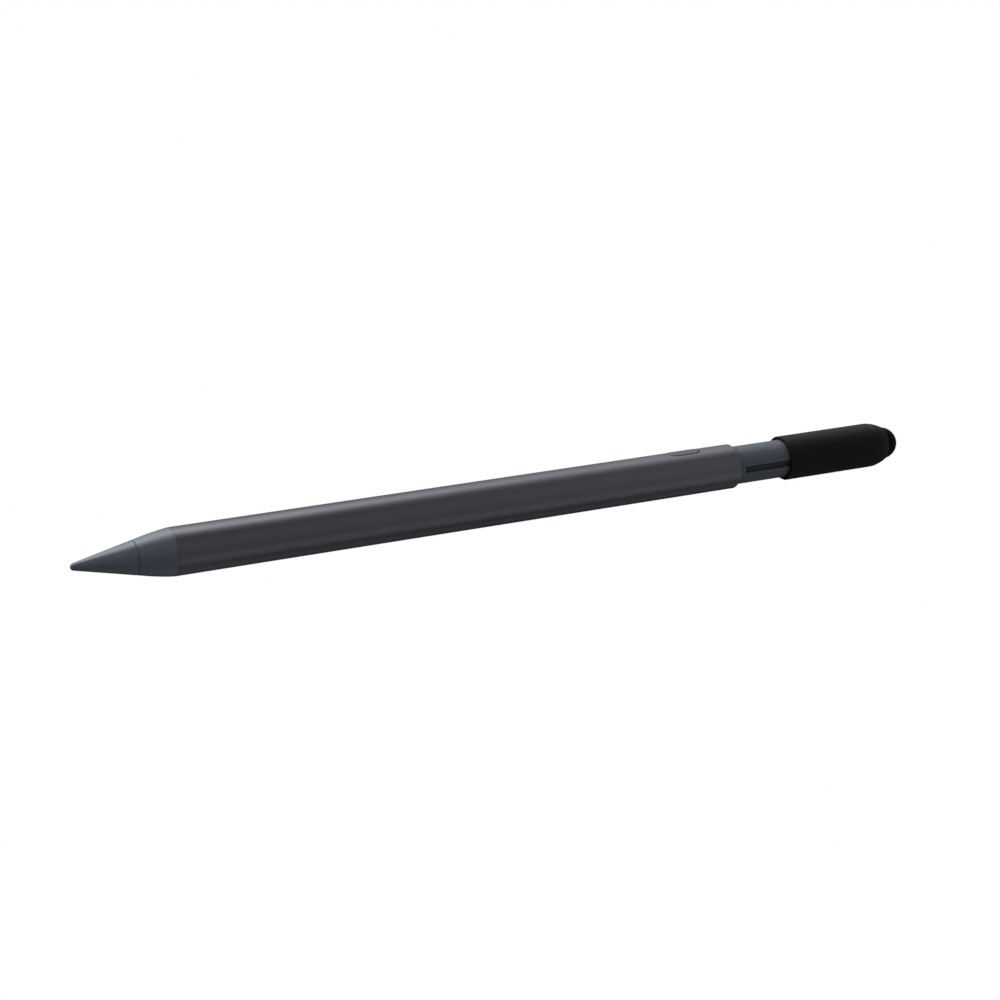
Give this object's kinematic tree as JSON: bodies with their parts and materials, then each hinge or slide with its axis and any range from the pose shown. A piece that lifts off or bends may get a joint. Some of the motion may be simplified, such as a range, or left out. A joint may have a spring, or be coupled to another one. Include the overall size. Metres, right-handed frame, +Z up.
{
  "type": "active stylus pen",
  "caption": "Slim rechargeable tablet stylus: conical screw-on nib, round barrel with a power button, and a sliding cap with a rubber tip that uncovers a side charging port.",
  "frame": {"origin": "middle of the pen with its cap drawn out, on the plane of its flat underside", "axes": "+X along the pen from the nib to the cap, +Z up through the power button, away from the flat underside"},
  "size_m": [0.1768, 0.009, 0.0085],
  "materials": {
    "nib_acetal": "moulded acetal, satin",
    "barrel_coat": "anodised aluminium, dark grey, satin",
    "tube_nylon": "moulded plastic, blue-grey, satin",
    "cap_black": "moulded plastic, black, soft satin",
    "button_plastic": "painted plastic, satin",
    "dome_rubber": "conductive silicone rubber",
    "seal_rubber": "silicone rubber",
    "carrier_plastic": "moulded plastic, black",
    "board": "glass epoxy with green solder mask",
    "chip_epoxy": "moulded epoxy",
    "metal_can": "plated steel",
    "spring_steel": "drawn steel",
    "magnet_nickel": "nickel plated",
    "stud_brass": "machined brass",
    "contact_gold": "gold-plated contacts",
    "cell_can": "aluminium can with blue film",
    "wire_film": "coloured insulation",
    "flex_film": "amber polyimide film",
    "ceramic": "fired ceramic"
  },
  "bodies": {
    "main": {"nose_collar": "nib_acetal", "thread_stud": "stud_brass", "tilt_ring": "stud_brass", "force_spring": "spring_steel", "pin_guide": "carrier_plastic", "force_sensor": "ceramic", "sensor_board": "board", "tip_wire": "wire_film", "barrel": "barrel_coat", "chassis": "carrier_plastic", "front_board": "board", "rear_board": "board", "board_screws": "spring_steel", "bar_magnets": "magnet_nickel", "magnet_yokes": "spring_steel", "battery_cell": "cell_can", "battery_leads": "wire_film", "link_flex": "flex_film", "controller_chip": "chip_epoxy", "radio_chip": "chip_epoxy", "crystal": "metal_can", "power_chip": "chip_epoxy", "boost_coil": "ceramic", "chip_antenna": "ceramic", "capacitors": "ceramic", "tact_switch": "chip_epoxy", "switch_dome": "spring_steel", "button_holder": "carrier_plastic", "end_ring": "tube_nylon", "charging_tube": "tube_nylon", "usb_shell": "metal_can", "usb_tongue": "chip_epoxy", "usb_contacts": "contact_gold", "usb_board": "board", "usb_flex": "flex_film", "tube_plug": "carrier_plastic", "friction_band": "seal_rubber"},
    "button": {"power_button": "button_plastic", "switch_plunger": "carrier_plastic"},
    "nib_ring": {"nib_seal": "seal_rubber"},
    "nib": {"nib_tip": "nib_acetal", "nib_electrode": "stud_brass"},
    "cap": {"cap_sleeve": "cap_black", "guide_keys": "spring_steel", "cap_end": "cap_black", "tip_ferrule": "stud_brass", "rubber_dome": "dome_rubber"}
  },
  "joints": [
    {"name": "cap_slide", "type": "slide", "parent": "main", "child": "cap", "axis": [1, 0, 0], "range_m": [-0.0111, 0]},
    {"name": "button_press", "type": "slide", "parent": "main", "child": "button", "axis": [0, 0, -1], "range_m": [0, 0.00025], "stiffness_N_per_m": 2000, "deforming": ["switch_dome"]},
    {"name": "nib_travel", "type": "slide", "parent": "main", "child": "nib_ring", "axis": [-1, 0, 0], "range_m": [0, 0.0045]},
    {"name": "nib_turn", "type": "hinge", "parent": "nib_ring", "child": "nib", "pos_m": [-0.08238, 0, 0.00403], "axis": [1, 0, 0], "range_deg": [-3600, 0]}
  ],
  "couplings": [
    {"joint": "nib_turn", "follows": "nib_travel", "rad_per_m": -13963}
  ]
}
